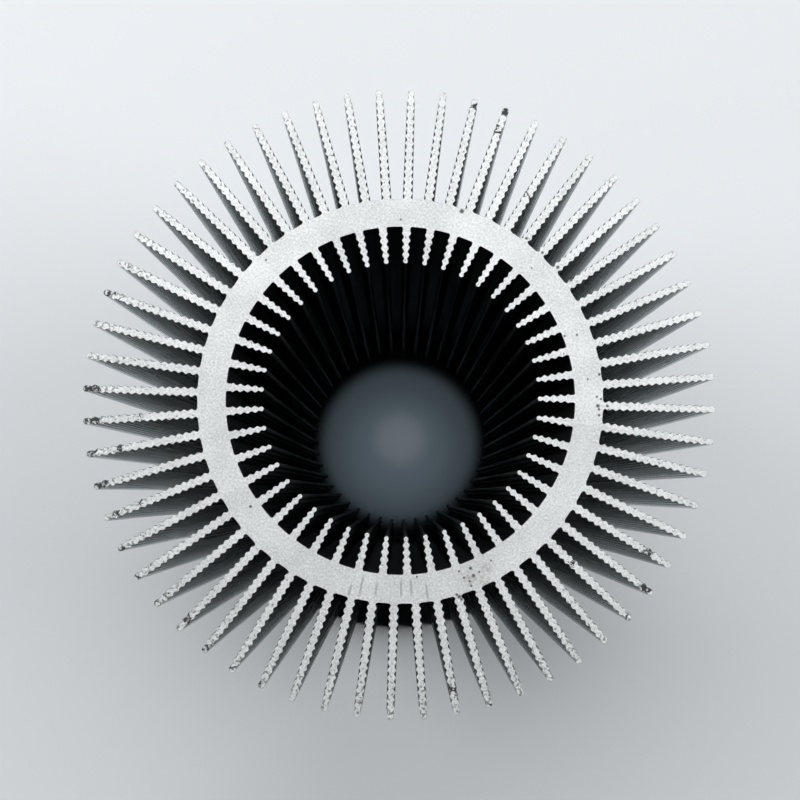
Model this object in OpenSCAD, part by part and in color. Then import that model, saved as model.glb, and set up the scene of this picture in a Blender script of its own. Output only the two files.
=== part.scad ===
// Sunflower heat sink: one aluminium extrusion, sawn to length.
// A thick ring carries rippled fins outside and inside, round an open bore.
// The axis is Z, and the origin is the centre of the lower sawn face.

/* [Overall] */
// Diameter over the tips of the outer fins
outer_d = 120; // [100:1:160]
// Length of the extrusion between its two sawn faces
height = 160; // [10:1:300]

/* [Ring] */
// Inside diameter of the ring
ring_inner_d = 66.2; // [62:0.2:78]
// Wall of the ring
ring_wall = 5.4; // [3:0.1:10]

/* [Outer fins] */
// Number of fins outside the ring
outer_fins = 60; // [36:1:72]
// Mean thickness of an outer fin at the ring
outer_root_t = 1.58; // [1.2:0.02:2.2]
// Mean thickness of an outer fin at its tip
outer_tip_t = 1.18; // [0.8:0.02:2]
// From the ring to the first groove of an outer fin
outer_lead = 0.4; // [0.2:0.05:1]

/* [Inner fins] */
// Number of fins inside the ring
inner_fins = 45; // [24:1:54]
// Clear diameter between the tips of the inner fins
bore_d = 52; // [40:0.5:58]
// Mean thickness of an inner fin at the ring
inner_root_t = 1.5; // [1.2:0.02:2]
// Mean thickness of an inner fin at its tip
inner_tip_t = 0.86; // [0.6:0.02:1.4]
// From the ring to the first groove of an inner fin
inner_lead = 1.95; // [1:0.05:2.4]

/* [Ripples] */
// Distance from one groove to the next along a fin
ripple_pitch = 1.4; // [1:0.05:2]
// Depth of a groove below the ridges beside it
ripple_depth = 0.34; // [0.1:0.02:0.4]
// How far the round tip of a fin stands proud of the flanks behind it
tip_swell = 0.03; // [0.01:0.01:0.1]

/* [Hidden] */

// Sides of the ring's circles, and of the circles of grooves and tips
ring_fn = 240;
ripple_fn = 24;

// Radii of the ring, and lengths of the fins on it
ring_inner_r = ring_inner_d / 2;
ring_outer_r = ring_inner_r + ring_wall;
outer_length = outer_d / 2 - ring_outer_r;
inner_length = ring_inner_r - bore_d / 2;

// Fins run into the middle of the ring's wall
fin_seat = ring_wall / 2;

// Round grooves side by side meet in ridges. Their radius follows from pitch
// and depth, and the mean flank lies a third of the depth above the grooves.
groove_r = (pow(ripple_pitch / 2, 2) + pow(ripple_depth, 2)) / (2 * ripple_depth);
groove_below = ripple_depth / 3;
ridge_above = ripple_depth - groove_below;

// The blank of a fin stands a little proud of the ridges, so the grooves cut right across it
blank_proud = ripple_depth / 4;

// Section of one fin along X, from its seat in the ring to its round tip, with the ring's face at 0.
// The first groove is at lead, and the rest follow as far as the tip.
module fin(length, root_t, tip_t, lead) {
    function half_t(x) = (root_t + (tip_t - root_t) * x / length) / 2;
    function ridge(x) = half_t(x) + ridge_above + blank_proud;
    tip_r = tip_t / 2 + tip_swell;
    tip_x = length - tip_r;
    last_groove = floor((tip_x - lead) / ripple_pitch);
    grooves = [for (k = [0 : last_groove]) lead + k * ripple_pitch];

    // One flank of the blank: plain at the ring, out to ridge height, and in again at the tip
    flank = [
        [-fin_seat, half_t(-fin_seat)],
        [lead - ripple_pitch, half_t(lead - ripple_pitch)],
        [lead - ripple_pitch / 2, ridge(lead - ripple_pitch / 2)],
        [grooves[last_groove], ridge(grooves[last_groove])],
        [tip_x, tip_t / 2]
    ];
    lower_flank = [for (point = flank) [point.x, -point.y]];
    upper_flank = [for (k = [len(flank) - 1 : -1 : 0]) flank[k]];

    difference() {
        union() {
            polygon(concat(lower_flank, upper_flank));
            translate([tip_x, 0])
                circle(r = tip_r, $fn = ripple_fn);
        }
        for (x = grooves, side = [-1, 1])
            translate([x, side * (half_t(x) - groove_below + groove_r)])
                circle(r = groove_r, $fn = ripple_fn);
    }
}

// Copies spread evenly round the axis, the first on +X
module spread(count) {
    for (k = [0 : count - 1])
        rotate(k * 360 / count)
            children();
}

// Section of the ring that carries the fins
module ring() {
    difference() {
        circle(r = ring_outer_r, $fn = ring_fn);
        circle(r = ring_inner_r, $fn = ring_fn);
    }
}

// The whole extrusion
module heat_sink() {
    color("silver")
        linear_extrude(height) {
            ring();
            spread(outer_fins)
                translate([ring_outer_r, 0])
                    fin(outer_length, outer_root_t, outer_tip_t, outer_lead);
            spread(inner_fins)
                translate([ring_inner_r, 0])
                    rotate(180)
                        fin(inner_length, inner_root_t, inner_tip_t, inner_lead);
        }
}

heat_sink();
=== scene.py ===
# %% [markdown]
# # A sunflower heat sink
# The real object is one length of aluminium extrusion. A thick ring carries long rippled fins
# outside and short ones inside, round an open bore. The walls are dark anodised; in the bore they
# are painted near-black as painted shade of the deep bore. The two ends are bare metal, because the
# bar was sawn to length afterwards.
# This lesson draws the section as two closed outlines, fills and sweeps them as a die would,
# gives the walls and the ends their own finishes, and then lights and frames the part.

# %% Load the imported frame
import math

import bmesh
import bpy
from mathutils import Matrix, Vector


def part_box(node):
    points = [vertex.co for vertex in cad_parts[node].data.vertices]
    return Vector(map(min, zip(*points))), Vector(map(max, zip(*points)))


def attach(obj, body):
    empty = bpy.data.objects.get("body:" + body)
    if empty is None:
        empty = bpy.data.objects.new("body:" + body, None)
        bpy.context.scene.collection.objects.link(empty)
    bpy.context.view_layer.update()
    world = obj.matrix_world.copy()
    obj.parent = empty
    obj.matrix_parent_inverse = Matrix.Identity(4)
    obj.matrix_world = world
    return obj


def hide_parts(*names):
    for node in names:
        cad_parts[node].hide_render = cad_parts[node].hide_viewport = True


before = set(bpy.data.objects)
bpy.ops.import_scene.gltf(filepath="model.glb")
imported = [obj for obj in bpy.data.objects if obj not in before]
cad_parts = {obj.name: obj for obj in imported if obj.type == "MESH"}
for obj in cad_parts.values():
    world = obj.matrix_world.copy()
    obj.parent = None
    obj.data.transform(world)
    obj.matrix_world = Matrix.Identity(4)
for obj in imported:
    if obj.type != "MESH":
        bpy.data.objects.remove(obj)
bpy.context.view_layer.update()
bar_low, bar_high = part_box("heat_sink")

# %% [markdown]
# ## Sizes
# Everything is in metres, in the frame of the CAD model: the axis is Z and the lower sawn end
# stands on the floor. The overall length and diameter come from the CAD node itself, so the
# dressed part can't drift away from it. The rest are the sizes of the section.

# %% Sizes of the section
MM = 0.001
bar_length = bar_high.z - bar_low.z
outer_radius = bar_high.x
ring_inner_radius = 33.1 * MM
ring_outer_radius = 38.5 * MM
bore_radius = 26.0 * MM

shared_sizes = {
    "Bar Length": bar_length,
    "Edge Break": 0.035 * MM,
    "Ripple Pitch": 1.4 * MM,
    "Ripple Depth": 0.34 * MM,
    "Tip Swell": 0.03 * MM,
    "Root Fillet": 0.3 * MM,
    "Ripple Points": 8,
    "Gap Points": 3,
}
outer_row = {
    "Fins": 60,
    "Outward": 1.0,
    "Ring Face": ring_outer_radius,
    "Fin Length": outer_radius - ring_outer_radius,
    "Root Thickness": 1.58 * MM,
    "Tip Thickness": 1.18 * MM,
    "First Groove": 0.4 * MM,
    "Tip Points": 12,
}
inner_row = {
    "Fins": 45,
    "Outward": -1.0,
    "Ring Face": ring_inner_radius,
    "Fin Length": ring_inner_radius - bore_radius,
    "Root Thickness": 1.5 * MM,
    "Tip Thickness": 0.86 * MM,
    "First Groove": 1.95 * MM,
    "Tip Points": 10,
}
print("bar", bar_length, "m long,", 2 * outer_radius, "m across")

# %% [markdown]
# ## Helpers
# Geometry and materials are both built from nodes. A few helpers keep the trees readable: one
# lays a node and feeds its sockets, one makes a tree with named inputs, and one writes sums.
# A socket takes either another node's output or a plain value. The last helper adds an object to
# the scene.

# %% Helpers
def feed(tree, source, socket):
    if isinstance(source, bpy.types.NodeSocket):
        tree.links.new(source, socket)
    else:
        socket.default_value = source


def lay(tree, kind, sources=None, **settings):
    node = tree.nodes.new(kind)
    for name, value in settings.items():
        setattr(node, name, value)
    for name, source in (sources or {}).items():
        feed(tree, source, node.inputs[name])
    return node


def calculator(tree):
    def calculate(operation, *sources):
        node = lay(tree, "ShaderNodeMath", operation=operation)
        for source, socket in zip(sources, node.inputs):
            feed(tree, source, socket)
        return node.outputs[0]

    return calculate


def socket_kind(value):
    return "NodeSocketInt" if isinstance(value, int) else "NodeSocketFloat"


def new_geometry_tree(name, sizes, results):
    tree = bpy.data.node_groups.new(name, "GeometryNodeTree")
    for label, value in sizes.items():
        tree.interface.new_socket(name=label, in_out="INPUT", socket_type=socket_kind(value))
    for label in results:
        tree.interface.new_socket(name=label, in_out="OUTPUT", socket_type="NodeSocketGeometry")
    inlet = tree.nodes.new("NodeGroupInput").outputs
    outlet = tree.nodes.new("NodeGroupOutput").inputs
    return tree, inlet, outlet


def add_object(name, data):
    added = bpy.data.objects.new(name, data)
    bpy.context.scene.collection.objects.link(added)
    return added


print("helpers ready")

# %% [markdown]
# ## One row of fins
# A row of fins is a single closed line: round a tip, down a flank, across the gap on the ring's
# face, and up the next flank. Modelling one fin and copying it would leave seams at the ring, so
# instead a circle with enough points is bent into the whole line. Each point works out from its
# own index which fin it belongs to and how far it is from that fin's tip. Half an index is added
# before that division, so that rounding can't put a point on the wrong fin.
# A fin is the same on both sides, so only the distance from the tip's middle matters, and the
# side is a sign. There are three stretches: the round tip, the rippled flank and the gap.

# %% Tree for a row: where each point is on its fin
HALF_INDEX = 0.5
row_sizes = {**shared_sizes, **outer_row}
row_tree, row_in, row_out = new_geometry_tree("row_of_fins", row_sizes, ["Walls", "End Outline"])
sum_of = calculator(row_tree)

tip_radius = sum_of("ADD", sum_of("DIVIDE", row_in["Tip Thickness"], 2.0), row_in["Tip Swell"])
tip_centre = sum_of("SUBTRACT", row_in["Fin Length"], tip_radius)
point_step = sum_of("DIVIDE", row_in["Ripple Pitch"], row_in["Ripple Points"])
points_to_groove = sum_of("CEIL", sum_of("DIVIDE", row_in["First Groove"], point_step))
rippled_length = sum_of("SUBTRACT", tip_centre, row_in["First Groove"])
points_past_groove = sum_of("ROUND", sum_of("DIVIDE", rippled_length, point_step))
flank_points = sum_of("ADD", points_to_groove, points_past_groove)
half_tip_points = sum_of("DIVIDE", row_in["Tip Points"], 2.0)
flank_end = sum_of("ADD", half_tip_points, flank_points)
half_fin_points = sum_of("ADD", flank_end, row_in["Gap Points"])
fin_points = sum_of("MULTIPLY", half_fin_points, 2.0)

index = lay(row_tree, "GeometryNodeInputIndex").outputs[0]
fin_number = sum_of("FLOOR", sum_of("DIVIDE", sum_of("ADD", index, HALF_INDEX), fin_points))
index_on_fin = sum_of("SUBTRACT", index, sum_of("MULTIPLY", fin_number, fin_points))
place_on_fin = sum_of("SUBTRACT", index_on_fin, half_fin_points)
side = sum_of("SIGN", place_on_fin)
from_tip = sum_of("ABSOLUTE", place_on_fin)
print("row tree counts its points")

# %% [markdown]
# The flank's half thickness is a straight taper plus a cosine for the ripples. The ripple starts
# from the first groove. Nearer the ring the cosine is held at its mean, which it has three
# quarters of a ripple before a groove, and the flank there is plain.
# The points are spaced evenly from the first groove, so that every ripple gets the same shape.
# After the last groove the flank never grows wider than the round tip, and at the ring a quarter
# circle is added, as the fillet of the die.

# %% Tree for a row: the flank
PLAIN_SHARE = -0.75


def chosen(test, otherwise, then):
    sources = {"Switch": test, "False": otherwise, "True": then}
    return lay(row_tree, "GeometryNodeSwitch", sources, input_type="FLOAT").outputs[0]


from_root = sum_of("SUBTRACT", flank_end, from_tip)
past_groove = sum_of("MULTIPLY", sum_of("SUBTRACT", from_root, points_to_groove), point_step)
along = sum_of("MINIMUM", sum_of("ADD", row_in["First Groove"], past_groove), tip_centre)
along = sum_of("MAXIMUM", along, 0.0)

taper = sum_of("SUBTRACT", row_in["Tip Thickness"], row_in["Root Thickness"])
taper = sum_of("MULTIPLY", taper, sum_of("DIVIDE", along, row_in["Fin Length"]))
mean_half = sum_of("DIVIDE", sum_of("ADD", row_in["Root Thickness"], taper), 2.0)

ripple = sum_of("DIVIDE", sum_of("SUBTRACT", along, row_in["First Groove"]), row_in["Ripple Pitch"])
ripple_angle = sum_of("MULTIPLY", sum_of("MAXIMUM", ripple, PLAIN_SHARE), math.tau)
wave_height = sum_of("DIVIDE", row_in["Ripple Depth"], 2.0)
wave = sum_of("MULTIPLY", sum_of("COSINE", ripple_angle), wave_height)
rippled_half = sum_of("SUBTRACT", mean_half, wave)

last_groove = sum_of("FLOOR", sum_of("DIVIDE", rippled_length, row_in["Ripple Pitch"]))
past_grooves = sum_of("GREATER_THAN", ripple, last_groove)
beaded_half = chosen(past_grooves, rippled_half, sum_of("MINIMUM", rippled_half, tip_radius))

fillet_reach = sum_of("MINIMUM", sum_of("DIVIDE", along, row_in["Root Fillet"]), 1.0)
fillet_reach = sum_of("SUBTRACT", 1.0, fillet_reach)
fillet_drop = sum_of("SQRT", sum_of("SUBTRACT", 1.0, sum_of("POWER", fillet_reach, 2.0)))
fillet = sum_of("MULTIPLY", row_in["Root Fillet"], sum_of("SUBTRACT", 1.0, fillet_drop))
flank_half = sum_of("ADD", beaded_half, fillet)
print("row tree shapes its flanks")

# %% [markdown]
# The tip is half a circle, and the gap is an arc on the ring's face, from the foot of the fillet
# to the middle between two fins. Two switches choose the stretch, and the point is then turned
# round the axis to its own fin.

# %% Tree for a row: the tip, the gap and the whole outline
QUARTER_TURN = math.pi / 2
tip_angle = sum_of("MULTIPLY", sum_of("DIVIDE", from_tip, half_tip_points), QUARTER_TURN)
tip_along = sum_of("ADD", tip_centre, sum_of("MULTIPLY", tip_radius, sum_of("COSINE", tip_angle)))
tip_across = sum_of("MULTIPLY", tip_radius, sum_of("SINE", tip_angle))

gap_share = sum_of("DIVIDE", sum_of("SUBTRACT", from_tip, flank_end), row_in["Gap Points"])
foot_angle = sum_of("ARCSINE", sum_of("DIVIDE", flank_half, row_in["Ring Face"]))
gap_reach = sum_of("SUBTRACT", sum_of("DIVIDE", math.pi, row_in["Fins"]), foot_angle)
gap_angle = sum_of("ADD", foot_angle, sum_of("MULTIPLY", gap_share, gap_reach))

on_tip = sum_of("LESS_THAN", from_tip, half_tip_points)
on_gap = sum_of("GREATER_THAN", from_tip, flank_end)
fin_along = sum_of("MULTIPLY", row_in["Outward"], chosen(on_tip, along, tip_along))
fin_x = sum_of("ADD", row_in["Ring Face"], fin_along)
fin_y = chosen(on_tip, flank_half, tip_across)
gap_x = sum_of("MULTIPLY", row_in["Ring Face"], sum_of("COSINE", gap_angle))
gap_y = sum_of("MULTIPLY", row_in["Ring Face"], sum_of("SINE", gap_angle))
point_x = chosen(on_gap, fin_x, gap_x)
point_y = sum_of("MULTIPLY", side, chosen(on_gap, fin_y, gap_y))
point = lay(row_tree, "ShaderNodeCombineXYZ", {"X": point_x, "Y": point_y}).outputs[0]

fin_angle = sum_of("MULTIPLY", fin_number, sum_of("DIVIDE", math.tau, row_in["Fins"]))
turning = {"Vector": point, "Angle": fin_angle}
turned = lay(row_tree, "ShaderNodeVectorRotate", turning, rotation_type="Z_AXIS").outputs[0]
row_points = sum_of("MULTIPLY", row_in["Fins"], fin_points)
loop = lay(row_tree, "GeometryNodeCurvePrimitiveCircle", {"Resolution": row_points}, mode="RADIUS")
bending = {"Geometry": loop.outputs["Curve"], "Position": turned}
outline = lay(row_tree, "GeometryNodeSetPosition", bending).outputs[0]
outline = lay(row_tree, "GeometryNodeSetCurveNormal", {"Curve": outline}, mode="Z_UP").outputs[0]
print("row tree closes its outline")

# %% [markdown]
# ## Walls with a broken edge
# A saw leaves a burr, and a stroke of a file breaks the edge. So the wall's upright line has four
# points: in at the lower end, out, up, and in again at the upper end. Sweeping that line round
# the outline makes the whole wall at once. The sweep turns the line's Y downwards, so heights on
# it are negative. The end's own outline is drawn in by the same amount, so that the two can be
# welded.

# %% Tree for a row: walls and end outline
UP = (0.0, 0.0, 1.0)
wall_foot = sum_of("MULTIPLY", row_in["Edge Break"], -1.0)
inward = sum_of("MULTIPLY", row_in["Outward"], wall_foot)
wall_head = sum_of("SUBTRACT", row_in["Edge Break"], row_in["Bar Length"])
bar_end = sum_of("MULTIPLY", row_in["Bar Length"], -1.0)
upright_points = {
    "Point 1": lay(row_tree, "ShaderNodeCombineXYZ", {"X": inward}).outputs[0],
    "Point 2": lay(row_tree, "ShaderNodeCombineXYZ", {"Y": wall_foot}).outputs[0],
    "Point 3": lay(row_tree, "ShaderNodeCombineXYZ", {"Y": wall_head}).outputs[0],
    "Point 4": lay(row_tree, "ShaderNodeCombineXYZ", {"X": inward, "Y": bar_end}).outputs[0],
}
upright = lay(row_tree, "GeometryNodeCurvePrimitiveQuadrilateral", upright_points, mode="POINTS")
opening = {"Geometry": upright.outputs[0], "Cyclic": False}
upright = lay(row_tree, "GeometryNodeSetSplineCyclic", opening).outputs[0]
sweep = {"Curve": outline, "Profile Curve": upright}
walls = lay(row_tree, "GeometryNodeCurveToMesh", sweep).outputs[0]
feed(row_tree, walls, row_out["Walls"])

tangent = lay(row_tree, "GeometryNodeInputTangent").outputs[0]
crossing = {0: tangent, 1: UP}
across = lay(row_tree, "ShaderNodeVectorMath", crossing, operation="CROSS_PRODUCT").outputs[0]
scaling = {0: across, "Scale": inward}
offset = lay(row_tree, "ShaderNodeVectorMath", scaling, operation="SCALE").outputs[0]
drawing_in = {"Geometry": outline, "Offset": offset}
end_outline = lay(row_tree, "GeometryNodeSetPosition", drawing_in).outputs[0]
feed(row_tree, end_outline, row_out["End Outline"])
print("row tree has", len(row_tree.nodes), "nodes")

# %% [markdown]
# ## The whole extrusion
# The die has two outlines: the outer row and the inner row. Filled together they give the sawn
# end, with the bore as a hole. The end is copied to the other end of the bar, and everything is
# welded.
# Every size is a named input, so that the same tree gives a longer bar or another count of fins.

# %% Tree for the extrusion: walls and ends
WELD = 0.002 * MM
bar_sizes = {
    **shared_sizes,
    **{"Outer " + label: value for label, value in outer_row.items()},
    **{"Inner " + label: value for label, value in inner_row.items()},
}
bar_tree, bar_in, bar_out = new_geometry_tree("sunflower_extrusion", bar_sizes, ["Bar"])
for label in ("Fin Finish", "Bore Finish", "Edge Finish", "End Finish"):
    bar_tree.interface.new_socket(name=label, in_out="INPUT", socket_type="NodeSocketMaterial")


def fin_row(prefix, own_sizes):
    row = lay(bar_tree, "GeometryNodeGroup", node_tree=row_tree)
    for label in shared_sizes:
        feed(bar_tree, bar_in[label], row.inputs[label])
    for label in own_sizes:
        feed(bar_tree, bar_in[prefix + label], row.inputs[label])
    return row.outputs


def joined(*geometries):
    node = lay(bar_tree, "GeometryNodeJoinGeometry")
    for geometry in geometries:
        feed(bar_tree, geometry, node.inputs[0])
    return node.outputs[0]


def finished(geometry, finish, faces=True):
    sources = {"Geometry": geometry, "Selection": faces, "Material": bar_in[finish]}
    return lay(bar_tree, "GeometryNodeSetMaterial", sources).outputs[0]


outer_fins = fin_row("Outer ", outer_row)
inner_fins = fin_row("Inner ", inner_row)
end_outlines = joined(outer_fins["End Outline"], inner_fins["End Outline"])
lower_end = lay(bar_tree, "GeometryNodeFillCurve", {"Curve": end_outlines}, mode="TRIANGLES").outputs[0]
lift = lay(bar_tree, "ShaderNodeCombineXYZ", {"Z": bar_in["Bar Length"]}).outputs[0]
lifting = {"Geometry": lower_end, "Translation": lift}
upper_end = lay(bar_tree, "GeometryNodeTransform", lifting).outputs[0]

fin_walls = finished(outer_fins["Walls"], "Fin Finish")
bore_walls = finished(inner_fins["Walls"], "Bore Finish")
bar = joined(fin_walls, bore_walls, lower_end, upper_end)
bar = lay(bar_tree, "GeometryNodeMergeByDistance", {"Geometry": bar, "Distance": WELD}).outputs[0]
print("extrusion tree welds its walls and ends")

# %% [markdown]
# Edges sharper than a ripple's own bend are kept crisp. The slope of a face tells what it is: a
# wall is upright, an end is level, and a broken edge lies between the two.

# %% Tree for the extrusion: crisp edges and finishes
CRISP_ANGLE = math.radians(40)
EDGE_SLOPE = 0.3
END_SLOPE = 0.9
bar_sum = calculator(bar_tree)


def shaded(geometry, domain, smooth, selection=True):
    sources = {"Geometry": geometry, "Selection": selection, "Shade Smooth": smooth}
    return lay(bar_tree, "GeometryNodeSetShadeSmooth", sources, domain=domain).outputs[0]


bend = lay(bar_tree, "GeometryNodeInputMeshEdgeAngle").outputs["Unsigned Angle"]
bar = shaded(bar, "FACE", True)
bar = shaded(bar, "EDGE", False, bar_sum("GREATER_THAN", bend, CRISP_ANGLE))

facing = lay(bar_tree, "GeometryNodeInputNormal").outputs[0]
facing = lay(bar_tree, "ShaderNodeSeparateXYZ", {"Vector": facing}).outputs["Z"]
slope = bar_sum("ABSOLUTE", facing)
bar = lay(bar_tree, "GeometryNodeRealizeInstances", {"Geometry": bar}).outputs[0]
bar = finished(bar, "Edge Finish", bar_sum("GREATER_THAN", slope, EDGE_SLOPE))
bar = finished(bar, "End Finish", bar_sum("GREATER_THAN", slope, END_SLOPE))
feed(bar_tree, bar, bar_out["Bar"])
print("extrusion tree has", len(bar_tree.nodes), "nodes and", len(bar_in) - 1, "inputs")

# %% [markdown]
# ## Finishes
# A finish is a material whose tone and roughness come from noise, so a few helpers make noise,
# spread it over another range and tint it. Most of a noise lies between 0.3 and 0.7.

# %% Helpers for finishes
NOISE_RANGE = (0.3, 0.7)
NOISE_MIDDLE = 0.5


def new_finish(name):
    material = bpy.data.materials.new(name)
    material.use_nodes = True
    tree = material.node_tree
    shader = tree.nodes["Principled BSDF"]
    coordinates = lay(tree, "ShaderNodeTexCoord").outputs["Object"]
    return material, tree, shader, coordinates


def noise(tree, coordinates, scale, detail=2.0, roughness=0.5):
    stretched = lay(tree, "ShaderNodeMapping", {"Vector": coordinates, "Scale": scale}).outputs[0]
    sources = {"Vector": stretched, "Scale": 1.0, "Detail": detail, "Roughness": roughness}
    return lay(tree, "ShaderNodeTexNoise", sources).outputs["Fac"]


def ranged(tree, value, low, high, to_low, to_high):
    sources = {"Value": value, "From Min": low, "From Max": high, "To Min": to_low, "To Max": to_high}
    return lay(tree, "ShaderNodeMapRange", sources, clamp=True).outputs[0]


def tinted(tree, value, dark, light):
    ramp = lay(tree, "ShaderNodeValToRGB", {"Fac": value})
    ramp.color_ramp.elements[0].color = (*dark, 1.0)
    ramp.color_ramp.elements[1].color = (*light, 1.0)
    return ramp.outputs["Color"]


print("helpers for finishes ready")

# %% [markdown]
# ## Anodised walls
# Anodising turns the skin of the metal into a hard dyed oxide. Outside, the metal glints through
# a dark blue-grey dye, so that finish is a dark metal under a clear coat: dark from the side, and
# lighter at a glancing angle. In the bore and on the broken edges the walls get a near-black copy
# of the finish instead: painted shade, for the little light that reaches down the bore and the shade
# along the burr. The die draws faint straight lines along the bar, so the tone and the gloss change
# across a wall but hardly along it: noise that is stretched far along Z does that.

# %% Finish of the walls
DIE_LINES = (350.0, 350.0, 3.0)


def die_lined_finish(name, dark, light, matt, sheen, settings):
    finish, tree, shader, at = new_finish(name)
    die_lines = noise(tree, at, DIE_LINES, detail=3.0, roughness=0.6)
    dye = ranged(tree, die_lines, *NOISE_RANGE, 0.0, 1.0)
    gloss = ranged(tree, die_lines, *NOISE_RANGE, matt, sheen)
    feed(tree, tinted(tree, dye, dark, light), shader.inputs["Base Color"])
    feed(tree, gloss, shader.inputs["Roughness"])
    for label, value in settings.items():
        feed(tree, value, shader.inputs[label])
    return finish


dark_anodised = die_lined_finish(
    "dark_anodised",
    dark=(0.085, 0.125, 0.132),
    light=(0.19, 0.265, 0.28),
    matt=0.30,
    sheen=0.24,
    settings={"Metallic": 1.0, "Coat Weight": 0.85, "Coat Roughness": 0.24},
)
# Painted shade: the bore walls and the broken edges get a near-black copy of the wall finish, for the
# shade down the deep bore and along the burr.
bore_and_edge_shade_black = die_lined_finish(
    "bore_and_edge_shade_black",
    dark=(0.005, 0.006, 0.0065),
    light=(0.014, 0.016, 0.017),
    matt=0.62,
    sheen=0.5,
    settings={"Specular IOR Level": 0.25},
)
print("walls finished in", dark_anodised.name, "and", bore_and_edge_shade_black.name)

# %% [markdown]
# ## Sawn aluminium ends
# A sawn end is bare metal. It shows the light above it blurred and takes its brightness from
# there. Two grains of noise make the tone: a mottle of some millimetres and a speckle of half a
# millimetre. Four sectors of the end are painted a little lighter: painted highlights, where the
# saw's marks reflect the lamps.
# The fins are a little lighter than the ring, with thin curls that the saw left.
# The helper near gives 1 close to a middle and fades to 0 at the edge of its reach.

# %% Finish of the ends: tone
FLAT = (1.0, 1.0, 0.0)
FULL_TURN = 360.0
FULL_SHARE = 0.6
RING_MARGIN = 0.8 * MM
MOTTLE_SHARE = 0.25
TONE_RANGE = (0.63, 1.05)
FIN_TONE = 0.04
HIGHLIGHT_BAND_REACH = 28.0
HIGHLIGHT_BAND_TONE = 0.05
CURL_WIDTH = 0.04
CURL_TONE = 0.06
# Angles in degrees of the painted highlights on the ends.
highlight_band_angles = [15.0, 60.0, 150.0, 330.0]

sawn_aluminium, end_tree, end_shader, end_at = new_finish("sawn_aluminium")
end_sum = calculator(end_tree)
end_axes = lay(end_tree, "ShaderNodeSeparateXYZ", {"Vector": end_at}).outputs
end_flat = lay(end_tree, "ShaderNodeMapping", {"Vector": end_at, "Scale": FLAT}).outputs[0]
from_axis = lay(end_tree, "ShaderNodeVectorMath", {"Vector": end_flat}, operation="LENGTH")
end_radius = from_axis.outputs["Value"]


def near(value, middle, reach):
    distance = end_sum("ABSOLUTE", end_sum("SUBTRACT", value, middle))
    return ranged(end_tree, distance, FULL_SHARE * reach, reach, 1.0, 0.0)


def grain(per_metre, detail=2.0, roughness=0.5):
    return noise(end_tree, end_at, (per_metre, per_metre, per_metre), detail, roughness)


ring_middle = (ring_inner_radius + ring_outer_radius) / 2
on_ring = near(end_radius, ring_middle, ring_outer_radius - ring_middle + RING_MARGIN)
off_ring = end_sum("SUBTRACT", 1.0, on_ring)
mottle = end_sum("MULTIPLY", grain(per_metre=160.0, detail=3.0), MOTTLE_SHARE)
speckle = grain(per_metre=2400.0, detail=3.0, roughness=0.6)
tone = end_sum("ADD", mottle, end_sum("MULTIPLY", speckle, 1.0 - MOTTLE_SHARE))
tone = ranged(end_tree, tone, *NOISE_RANGE, *TONE_RANGE)
tone = end_sum("ADD", tone, end_sum("MULTIPLY", off_ring, FIN_TONE))

end_turn = end_sum("ARCTAN2", end_axes["Y"], end_axes["X"])
end_degrees = end_sum("FLOORED_MODULO", end_sum("DEGREES", end_turn), FULL_TURN)
# Painted highlights: four lighter sectors of the tone stand for the lamps' reflection in the saw marks.
for angle in highlight_band_angles:
    highlight_band = near(end_degrees, angle, HIGHLIGHT_BAND_REACH)
    tone = end_sum("ADD", tone, end_sum("MULTIPLY", highlight_band, HIGHLIGHT_BAND_TONE))

curl = near(grain(per_metre=800.0, detail=1.0), NOISE_MIDDLE, CURL_WIDTH)
curl = end_sum("MULTIPLY", end_sum("MULTIPLY", curl, off_ring), CURL_TONE)
tone = end_sum("MULTIPLY", tone, end_sum("SUBTRACT", 1.0, curl))
print("ends have a tone from", len(end_tree.nodes), "nodes")

# %% [markdown]
# The upper end has seen some use. Many fins have dark smudges near their tips. Each is placed by
# the number of its fin, counted from +X, with its radius and length in millimetres. Noise makes
# its ends ragged and breaks it up into blots. The fins also have small chips, more of them towards
# the outer tips and on the worn side.

# %% Finish of the ends: smudges and chips
fin_smudges = [
    (11, 46.2, 0.8), (13, 59.0, 1.6), (13, 55.2, 1.2), (14, 58.4, 1.6), (28, 58.8, 2.0),
    (28, 56.4, 0.7), (31, 58.4, 3.4), (32, 58.4, 3.2), (32, 49.2, 0.7), (33, 58.7, 2.8),
    (33, 53.7, 0.7), (34, 58.4, 3.2), (35, 57.4, 1.1), (35, 52.2, 0.5), (36, 59.1, 1.0),
    (37, 59.2, 1.1), (38, 59.2, 0.6), (38, 57.2, 0.7), (39, 57.4, 1.8), (40, 58.9, 0.9),
    (41, 58.8, 0.9), (42, 58.9, 0.9), (48, 55.4, 2.0), (49, 59.6, 0.5), (54, 59.1, 1.0),
    (54, 45.0, 0.5), (55, 58.3, 2.4), (56, 54.8, 2.4),
]
HALF_FIN = 0.5
RAGGED_REACH = 5.0 * MM
SMUDGE_BLOTS = (0.34, 0.48)
SMUDGE_STRENGTH = 0.94
WORN_SIDE = 235.0
WORN_REACH = 120.0
WORN_FROM = 46.0 * MM
WORN_ELSEWHERE = 0.4
WORN_AT_TIPS = 0.09
CHIP_EDGES = (0.62, 0.72)
CHIP_STRENGTH = 0.6

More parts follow.
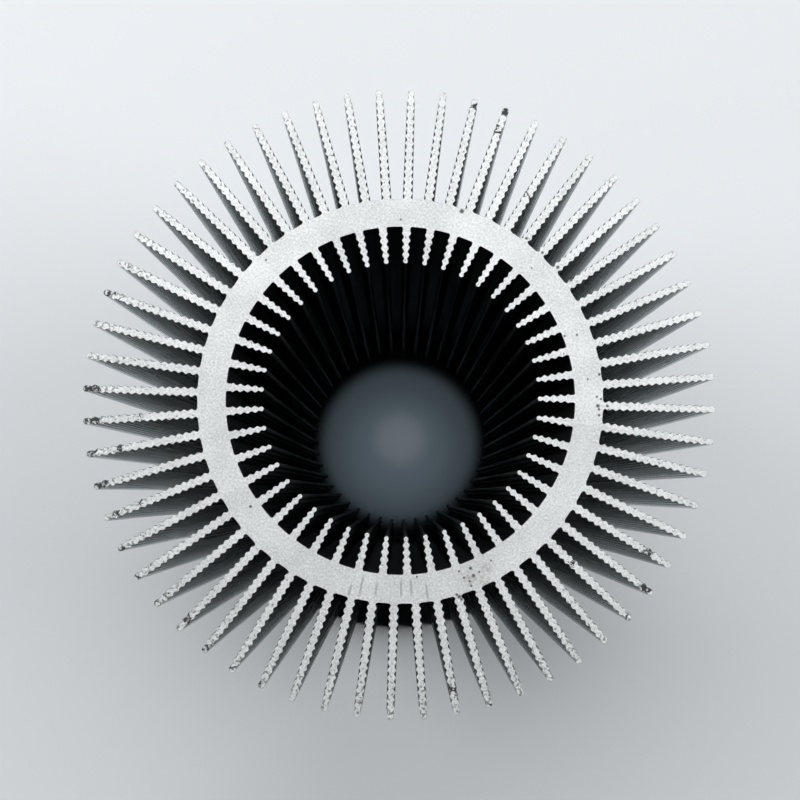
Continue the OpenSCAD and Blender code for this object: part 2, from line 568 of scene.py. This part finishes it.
fin_count = outer_row["Fins"]
nearest_fin = end_sum("ROUND", end_sum("MULTIPLY", end_turn, fin_count / math.tau))
nearest_fin = end_sum("FLOORED_MODULO", nearest_fin, fin_count)
ragged = end_sum("SUBTRACT", grain(per_metre=900.0), NOISE_MIDDLE)
ragged_radius = end_sum("ADD", end_radius, end_sum("MULTIPLY", ragged, RAGGED_REACH))
marks = 0.0
for number, radius, length in fin_smudges:
    on_fin = near(nearest_fin, number, HALF_FIN)
    stretch = near(ragged_radius, radius * MM, length * MM / 2)
    marks = end_sum("MAXIMUM", marks, end_sum("MULTIPLY", on_fin, stretch))
blot = grain(per_metre=1500.0)
marks = end_sum("MULTIPLY", marks, ranged(end_tree, blot, *SMUDGE_BLOTS, 0.0, SMUDGE_STRENGTH))

worn = end_sum("ADD", near(end_degrees, WORN_SIDE, WORN_REACH), WORN_ELSEWHERE)
towards_tips = ranged(end_tree, end_radius, WORN_FROM, outer_radius, 0.0, WORN_AT_TIPS)
chips = grain(per_metre=1600.0, detail=3.0)
chips = end_sum("ADD", chips, end_sum("MULTIPLY", worn, towards_tips))
chips = ranged(end_tree, chips, *CHIP_EDGES, 0.0, CHIP_STRENGTH)
marks = end_sum("MAXIMUM", marks, end_sum("MULTIPLY", chips, off_ring))
print("upper end has", len(fin_smudges), "smudges")

# %% [markdown]
# The ring and the roots of the fins on it have pits, a stained patch and a few scratches. Each is
# placed by its angle in degrees, and by its radius and its size or length in millimetres.

# %% Finish of the ends: pits, stains and scratches
ring_pits = [
    (98, 34.5, 0.35), (80, 38.0, 0.8), (60, 39.2, 0.5), (54, 39.1, 0.5),
    (48, 39.3, 0.6), (43, 39.8, 0.6), (53, 35.5, 0.3), (29, 33.5, 0.4),
    (28, 35.8, 0.4), (15, 38.1, 0.5), (14, 35.8, 0.35), (8.6, 37.3, 0.4),
    (7.9, 38.1, 0.4), (5.9, 37.5, 0.65), (4.9, 37.7, 0.45), (3.2, 37.8, 0.45),
    (6, 39.3, 0.5), (4.9, 39.6, 0.35), (307, 34.9, 0.35), (300.2, 34.5, 0.55),
    (300.2, 36.0, 0.6), (298.5, 36.7, 0.4), (298.5, 37.6, 0.4), (297.3, 35.7, 0.4),
    (296.5, 34.3, 0.35), (302.2, 35.8, 0.35), (293.8, 38.3, 0.5), (294.3, 38.8, 0.65),
    (294.7, 39.4, 0.5), (283, 33.6, 0.35), (223.6, 34.8, 0.5), (223.6, 38.9, 0.35),
    (142, 37.0, 0.4),
]
ring_stains = [(304.4, 35.8, 1.5), (302.5, 37.6, 1.4), (299.0, 36.2, 2.0)]
ring_scratches = [
    (263, 37.2, 2.5), (266, 35.8, 4.5), (270.5, 36.0, 3.0),
    (278, 35.7, 3.5), (281, 35.5, 3.5), (285.6, 36.6, 3.4),
]
PIT_FLOOR = 0.35
PIT_RIM = 0.7
PIT_STRENGTH = 0.8
STAIN_CORE = 0.3
STAIN_BLOTS = (0.42, 0.58)
STAIN_STRENGTH = 0.4
SCRATCH_REACH = 0.42
SCRATCH_STRENGTH = 0.28


def round_mark(angle, radius, core, rim, strength):
    turn = math.radians(angle)
    centre = (radius * MM * math.cos(turn), radius * MM * math.sin(turn), bar_high.z)
    distance = lay(end_tree, "ShaderNodeVectorMath", {0: end_at, 1: centre}, operation="DISTANCE")
    return ranged(end_tree, distance.outputs["Value"], core * MM, rim * MM, strength, 0.0)


for angle, radius, size in ring_pits:
    pit = round_mark(angle, radius, PIT_FLOOR * size, PIT_RIM * size, PIT_STRENGTH)
    marks = end_sum("MAXIMUM", marks, pit)

stain = 0.0
for angle, radius, size in ring_stains:
    patch = round_mark(angle, radius, STAIN_CORE * size, size, STAIN_STRENGTH)
    stain = end_sum("MAXIMUM", stain, patch)
stain = end_sum("MULTIPLY", stain, ranged(end_tree, blot, *STAIN_BLOTS, 0.0, 1.0))

for angle, radius, length in ring_scratches:
    stretch = near(end_radius, radius * MM, length * MM / 2)
    scratch = end_sum("MULTIPLY", near(end_degrees, angle, SCRATCH_REACH), stretch)
    marks = end_sum("MAXIMUM", marks, end_sum("MULTIPLY", scratch, SCRATCH_STRENGTH))
print("ring has", len(ring_pits), "pits and", len(ring_scratches), "scratches")

# %% [markdown]
# The lower end has no marks, so they are kept to the upper half of the bar. Marks darken the tone,
# and stains tint the metal brownish.

# %% Finish of the ends: colour and roughness
DARK_METAL = (0.03, 0.032, 0.034)
LIGHT_METAL = (0.92, 0.94, 0.945)
STAIN_TINT = (0.36, 0.33, 0.26, 1.0)
END_ROUGHNESS = (0.64, 0.76)
on_upper_end = end_sum("GREATER_THAN", end_axes["Z"], bar_length / 2)
marks = end_sum("MULTIPLY", marks, on_upper_end)
stain = end_sum("MULTIPLY", stain, on_upper_end)
tone = end_sum("MULTIPLY", tone, end_sum("SUBTRACT", 1.0, marks))
bare = tinted(end_tree, tone, DARK_METAL, LIGHT_METAL)
stained = lay(end_tree, "ShaderNodeMixRGB", {"Fac": stain, "Color1": bare, "Color2": STAIN_TINT})
end_gloss = ranged(end_tree, speckle, *NOISE_RANGE, *END_ROUGHNESS)
feed(end_tree, stained.outputs["Color"], end_shader.inputs["Base Color"])
feed(end_tree, end_gloss, end_shader.inputs["Roughness"])
feed(end_tree, 1.0, end_shader.inputs["Metallic"])
print("ends finished in", sawn_aluminium.name, "with", len(end_tree.nodes), "nodes")

# %% [markdown]
# ## From nodes to a plain mesh
# The tree is set as a modifier, its inputs are filled in by their identifiers, and the evaluated
# result becomes a plain mesh.

# %% Build the bar
bar_object = add_object("extruded_bar", bpy.data.meshes.new("extruded_bar"))
die = bar_object.modifiers.new("die", "NODES")
die.node_group = bar_tree
bar_values = {
    **bar_sizes,
    "Fin Finish": dark_anodised,
    # The bore walls and the broken edges take the near-black painted shade.
    "Bore Finish": bore_and_edge_shade_black,
    "Edge Finish": bore_and_edge_shade_black,
    "End Finish": sawn_aluminium,
}
for item in bar_tree.interface.items_tree:
    if item.in_out == "INPUT":
        die[item.identifier] = bar_values[item.name]

bpy.context.view_layer.update()
evaluated = bar_object.evaluated_get(bpy.context.evaluated_depsgraph_get())
bar_mesh = bpy.data.meshes.new_from_object(evaluated)
bar_object.modifiers.remove(die)
bar_object.data = bar_mesh
print("bar built with", len(bar_mesh.vertices), "points")

# %% [markdown]
# The normals are then made to point out of the metal, and empty material slots are dropped.

# %% Clean the mesh
shell = bmesh.new()
shell.from_mesh(bar_mesh)
bmesh.ops.recalc_face_normals(shell, faces=shell.faces)
finishes = [finish for finish in bar_mesh.materials if finish]
for face in shell.faces:
    face.material_index = finishes.index(bar_mesh.materials[face.material_index])
bar_mesh.materials.clear()
for finish in finishes:
    bar_mesh.materials.append(finish)
open_edges = sum(1 for edge in shell.edges if not edge.is_manifold)
triangles = sum(len(face.verts) - 2 for face in shell.faces)
volume = shell.calc_volume()
shell.to_mesh(bar_mesh)
shell.free()
print("bar:", triangles, "triangles,", open_edges, "open edges,", volume / MM**3, "cubic mm")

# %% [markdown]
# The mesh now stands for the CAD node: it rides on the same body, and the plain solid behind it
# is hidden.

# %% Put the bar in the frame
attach(bar_object, "root")
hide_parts("heat_sink")
print("the bar stands for the CAD node")

# %% [markdown]
# ## Floor
# The part stands on a plain pale floor, a cool light grey.

# %% Floor
FLOOR_HALF = 3.0
FLOOR_CLOUDS = (4.0, 4.0, 4.0)
FLOOR_DARK = (0.752, 0.78, 0.806)
FLOOR_LIGHT = (0.781, 0.81, 0.836)
FLOOR_ROUGHNESS = 0.6
corner_sides = [(-1, -1), (1, -1), (1, 1), (-1, 1)]
floor_corners = [(x * FLOOR_HALF, y * FLOOR_HALF, bar_low.z) for x, y in corner_sides]
floor_mesh = bpy.data.meshes.new("floor")
floor_mesh.from_pydata(floor_corners, [], [(0, 1, 2, 3)])
floor = add_object("floor", floor_mesh)
pale_floor, floor_tree, floor_shader, floor_at = new_finish("pale_floor")
clouds = noise(floor_tree, floor_at, FLOOR_CLOUDS)
feed(floor_tree, tinted(floor_tree, clouds, FLOOR_DARK, FLOOR_LIGHT), floor_shader.inputs["Base Color"])
feed(floor_tree, FLOOR_ROUGHNESS, floor_shader.inputs["Roughness"])
floor_mesh.materials.append(pale_floor)
print("floor at", bar_low.z)

# %% [markdown]
# ## Light
# Soft lamps stand on the far side and to the left and right, so the near side of the floor lies in
# the part's own soft shadow. Three narrow beams with soft edges shine straight down the bore and
# light the floor in it: a wide and a middle one in a cool tint, and a narrow one in a warm tint.

# %% Lamps
LAMP_TARGET = Vector((0.0, 0.0, 0.1))
BEAM_HEIGHT = 1.2
BEAM_SOFTNESS = 0.002
COOL_TINT = (0.66, 0.86, 1.0)
WARM_TINT = (1.0, 0.9, 0.8)


def soft_lamp(name, place, size, watts):
    lamp = bpy.data.lights.new(name, "AREA")
    lamp.shape = "DISK"
    lamp.size = size
    lamp.energy = watts
    holder = add_object(name, lamp)
    holder.location = place
    direction = holder.location - LAMP_TARGET
    holder.rotation_euler = direction.to_track_quat("Z", "Y").to_euler()


def beam_down(name, aim_y, reach, blend, watts, tint):
    lamp = bpy.data.lights.new(name, "SPOT")
    lamp.energy = watts
    lamp.color = tint
    lamp.shadow_soft_size = BEAM_SOFTNESS
    lamp.spot_size = 2.0 * math.atan(reach / BEAM_HEIGHT)
    lamp.spot_blend = blend
    holder = add_object(name, lamp)
    holder.location = (0.0, aim_y, BEAM_HEIGHT)


soft_lamp("far_softbox", place=(-0.1, 0.6, 0.8), size=0.7, watts=3.3)
soft_lamp("left_softbox", place=(-0.7, 0.15, 0.6), size=0.6, watts=3.9)
soft_lamp("right_softbox", place=(0.7, 0.15, 0.6), size=0.6, watts=3.4)
beam_down("wide_beam", aim_y=-2.5 * MM, reach=26.6 * MM, blend=0.35, watts=3.9, tint=COOL_TINT)
beam_down("middle_beam", aim_y=-4.0 * MM, reach=22.0 * MM, blend=1.0, watts=3.5, tint=COOL_TINT)
beam_down("narrow_beam", aim_y=-0.9 * MM, reach=8.5 * MM, blend=1.0, watts=3.3, tint=WARM_TINT)
print("lamps set:", len(bpy.data.lights))

# %% [markdown]
# The sky glows near the horizon, most of all on the far side, and lights the part from there. The
# camera itself sees an even pale backdrop instead.

# %% Sky
SKY_TINT = (0.98, 0.99, 1.0, 1.0)
GLOW_TOP = 0.7
GLOW_FROM = -0.25
GLOW_LEVEL = 4.6
BACKDROP_LEVEL = 0.8
sky = bpy.data.worlds.new("sky")
sky.use_nodes = True
sky_tree = sky.node_tree
sky_sum = calculator(sky_tree)
sky_background = sky_tree.nodes["Background"]
sky_direction = lay(sky_tree, "ShaderNodeTexCoord").outputs["Generated"]
sky_axes = lay(sky_tree, "ShaderNodeSeparateXYZ", {"Vector": sky_direction}).outputs
near_horizon = ranged(sky_tree, sky_axes["Z"], 0.0, GLOW_TOP, 1.0, 0.0)
far_side = ranged(sky_tree, sky_axes["Y"], GLOW_FROM, 1.0, 0.0, GLOW_LEVEL)
sky_glow = sky_sum("MULTIPLY", near_horizon, far_side)
seen_directly = lay(sky_tree, "ShaderNodeLightPath").outputs["Is Camera Ray"]
unseen_glow = sky_sum("MULTIPLY", sky_glow, sky_sum("SUBTRACT", 1.0, seen_directly))
backdrop = sky_sum("MULTIPLY", seen_directly, BACKDROP_LEVEL)
feed(sky_tree, SKY_TINT, sky_background.inputs["Color"])
feed(sky_tree, sky_sum("ADD", unseen_glow, backdrop), sky_background.inputs["Strength"])
bpy.context.scene.world = sky
print("sky set with", len(sky_tree.nodes), "nodes")

# %% [markdown]
# ## Camera
# The camera looks down the axis from a short way above the upper end, a little off to one side.

# %% Camera
CAMERA_PLACE = (0.00231, -0.01760, 0.39631)
CAMERA_TURN = (4.219, -1.287, 7.828)
camera_data = bpy.data.cameras.new("camera")
camera_data.sensor_width = 36.0
camera_data.lens = 56.2
camera_data.shift_x = -0.0354
camera_data.shift_y = 0.0008
camera_data.clip_start = 0.01
camera = add_object("camera", camera_data)
camera.location = CAMERA_PLACE
camera.rotation_euler = [math.radians(angle) for angle in CAMERA_TURN]
bpy.context.scene.camera = camera
bpy.context.scene.view_settings.view_transform = "Standard"
print("camera at", tuple(camera.location))
